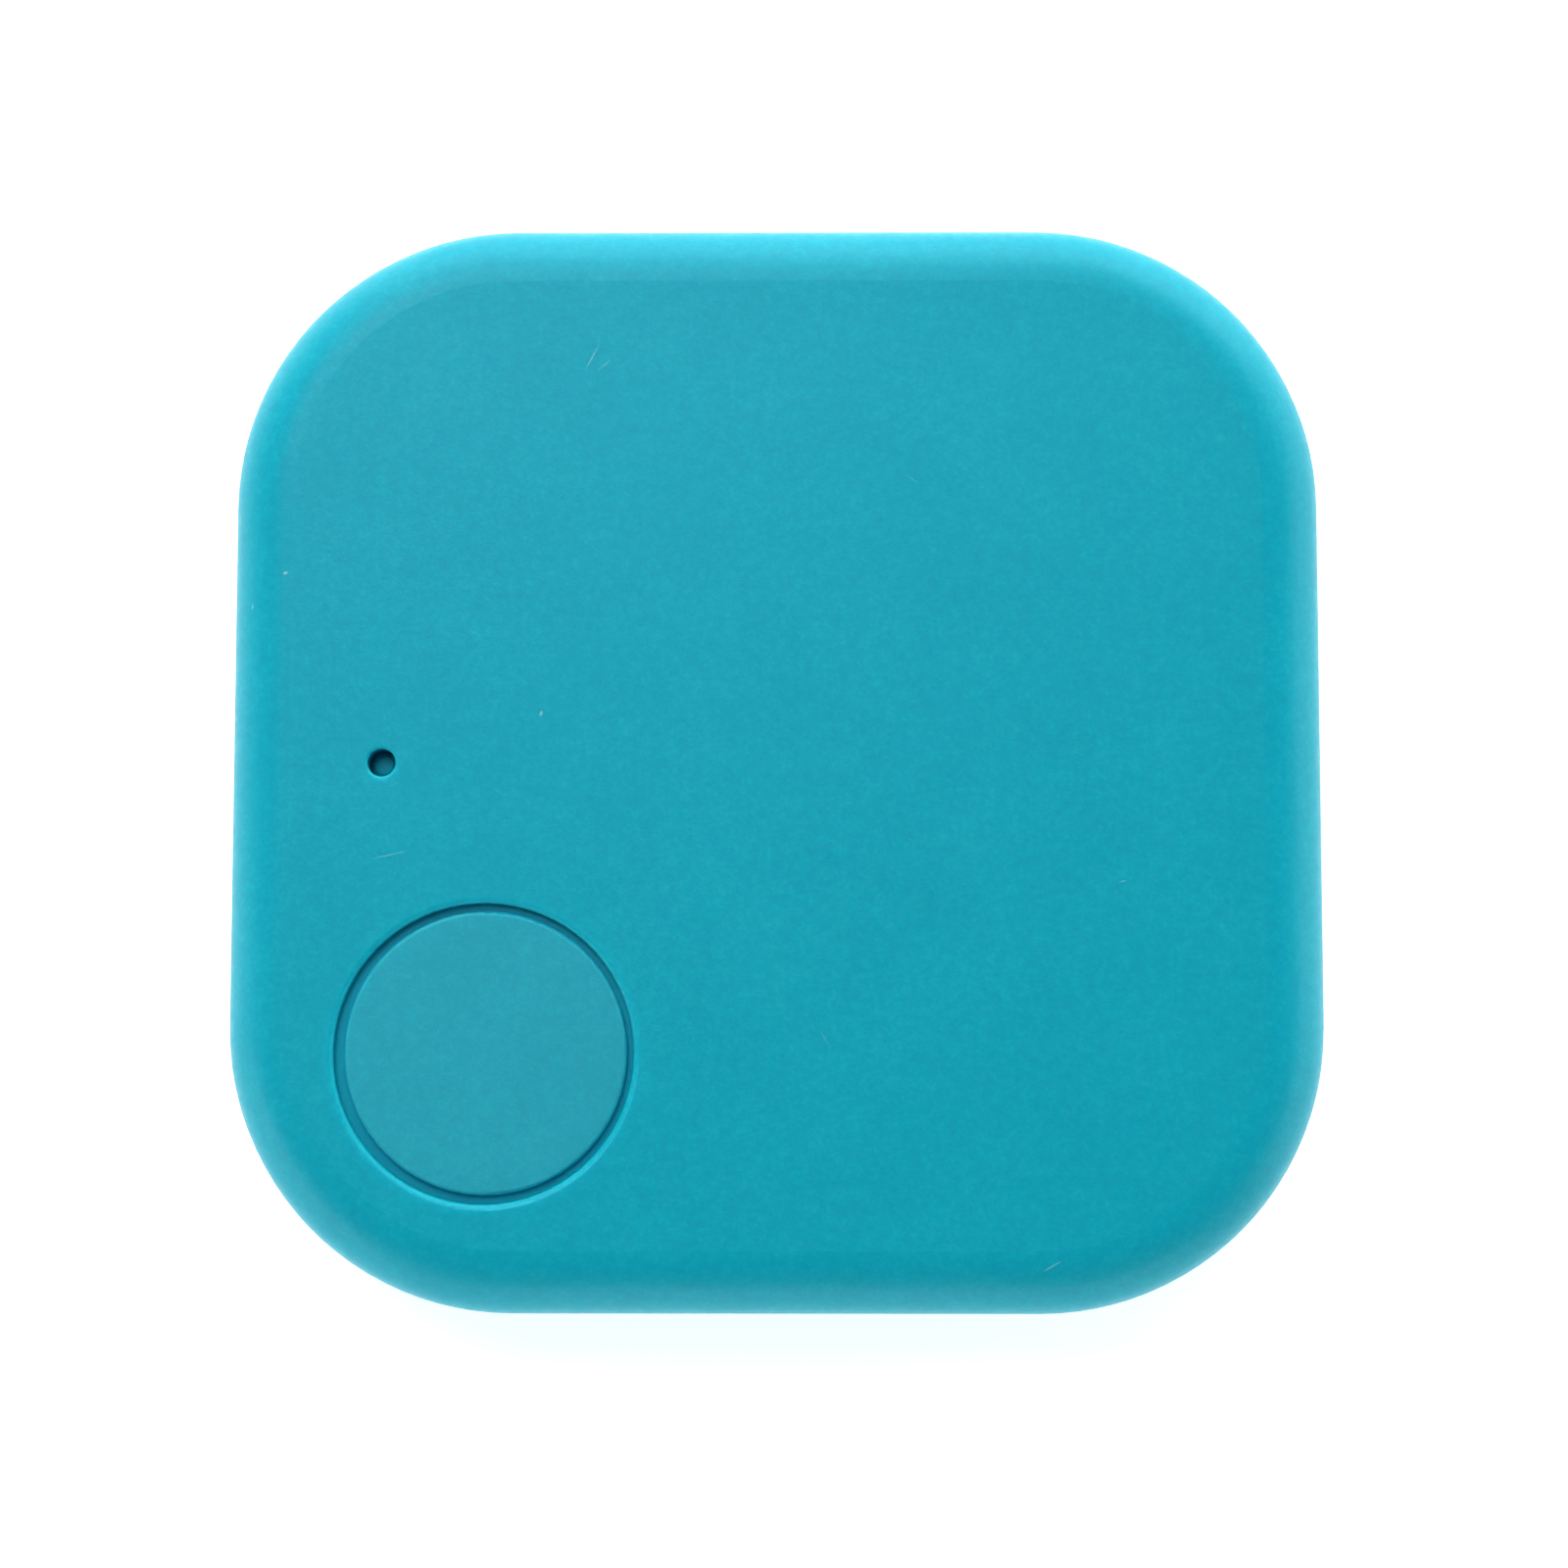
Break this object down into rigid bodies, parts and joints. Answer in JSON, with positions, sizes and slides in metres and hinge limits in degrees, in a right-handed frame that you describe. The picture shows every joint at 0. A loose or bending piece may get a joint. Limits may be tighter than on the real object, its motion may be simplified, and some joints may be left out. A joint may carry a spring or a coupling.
{
  "type": "wireless tracker tag",
  "caption": "Square pocket tracker tag with a push button, a status light port, a sounder and a lift-off back over a coin cell.",
  "frame": {"origin": "centre of the flat back face, which the tag lies on", "axes": "+Z out of the front face, +X to the right and +Y up when the front is seen with the button low on the left"},
  "size_m": [0.038, 0.038, 0.0072],
  "materials": {
    "case": "matte turquoise, fine spark-eroded grain",
    "light_pipe": "clear moulded",
    "board": "solder mask over laminate",
    "screw_steel": "zinc plated",
    "chip_black": "matte moulded epoxy",
    "can_steel": "nickel plated",
    "ceramic_white": "fired ceramic",
    "ceramic_tan": "fired ceramic",
    "resistor_black": "glazed film",
    "ferrite": "moulded ferrite",
    "gold_plate": "gold plated",
    "led_white": "white moulded",
    "led_epoxy": "clear epoxy",
    "switch_black": "glass filled",
    "switch_grey": "moulded",
    "spring_steel": "bright stainless",
    "cell_steel": "brushed stainless",
    "gasket_blue": "moulded",
    "cathode_black": "pressed powder",
    "separator_white": "non-woven",
    "lithium": "dull",
    "foam": "open-cell foam",
    "adhesive": "transfer tape",
    "brass_disc": "rolled",
    "piezo_ceramic": "fired ceramic",
    "silver_ink": "fired silver ink",
    "wire_red": "insulation",
    "wire_black": "insulation",
    "solder": "reflowed solder"
  },
  "bodies": {
    "cover": {"back_cover": "case", "cell_pad": "foam"},
    "housing": {"front_shell": "case", "light_pipe": "light_pipe", "circuit_board": "board", "pcb_screws": "screw_steel", "radio_chip": "chip_black", "crystal_can": "can_steel", "chip_antenna": "ceramic_white", "chip_capacitors": "ceramic_tan", "chip_resistors": "resistor_black", "bulk_capacitor": "ceramic_tan", "power_inductor": "ferrite", "driver_transistor": "chip_black", "driver_diode": "chip_black", "test_pads": "gold_plate", "led_base": "led_white", "led_lens": "led_epoxy", "switch_base": "switch_black", "switch_terminals": "spring_steel", "switch_dome": "spring_steel", "switch_frame": "spring_steel", "negative_contact": "gold_plate", "positive_contact": "gold_plate", "buzzer_adhesive": "adhesive", "buzzer_disc": "brass_disc", "buzzer_ceramic": "piezo_ceramic", "buzzer_electrode": "silver_ink", "buzzer_wire_red": "wire_red", "buzzer_wire_black": "wire_black", "solder_joints": "solder"},
    "button": {"button_cap": "case"},
    "plunger": {"switch_plunger": "switch_grey"},
    "cell": {"cell_can": "cell_steel", "cell_cap": "cell_steel", "cell_gasket": "gasket_blue", "cell_cathode": "cathode_black", "cell_separator": "separator_white", "cell_anode": "lithium"}
  },
  "joints": [
    {"name": "button_press", "type": "slide", "parent": "housing", "child": "button", "axis": [0, 0, -1], "range_m": [0, 0.00025], "stiffness_N_per_m": 6000, "springref_m": -0.00005},
    {"name": "plunger_press", "type": "slide", "parent": "housing", "child": "plunger", "axis": [0, 0, -1], "range_m": [0, 0.00025], "deforming": ["switch_dome"]},
    {"name": "shell_lift", "type": "slide", "parent": "cover", "child": "housing", "axis": [0, 0, 1], "range_m": [0, 0.016]},
    {"name": "cell_lift", "type": "slide", "parent": "cover", "child": "cell", "axis": [0, 0, 1], "range_m": [0, 0.008]}
  ],
  "couplings": [
    {"joint": "plunger_press", "follows": "button_press", "ratio": 1},
    {"joint": "cell_lift", "follows": "shell_lift", "ratio": 0.5}
  ]
}
